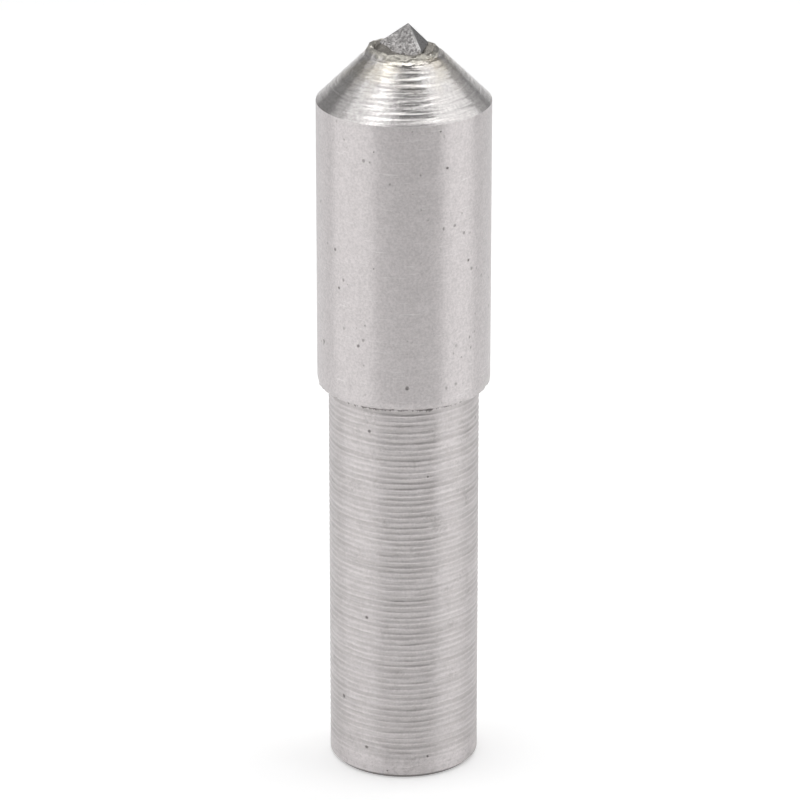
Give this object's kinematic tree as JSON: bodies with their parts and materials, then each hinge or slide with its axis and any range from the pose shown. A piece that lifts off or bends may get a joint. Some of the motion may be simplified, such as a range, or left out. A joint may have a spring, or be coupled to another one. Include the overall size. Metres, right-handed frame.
{
  "type": "diamond wheel dresser",
  "caption": "Stepped round steel dresser with a conical nose that holds a brazed octahedral diamond, clamped by its shank to true and dress grinding wheels.",
  "frame": {"origin": "centre of the flat end of the shank", "axes": "+Z along the tool's axis from the end of the shank to the stone's tip; -Y towards the picture's viewer"},
  "size_m": [0.01, 0.01, 0.045],
  "materials": {
    "holder_steel": "bright turned steel: satin bar on the head, fine rings on the shank and the nose",
    "braze_alloy": "rough grey-brown silver braze, as it set",
    "diamond": "natural grey diamond, coarse and pitted on one face and smooth on the next"
  },
  "bodies": {
    "root": {"holder": "holder_steel", "braze": "braze_alloy", "diamond": "diamond"}
  },
  "joints": []
}
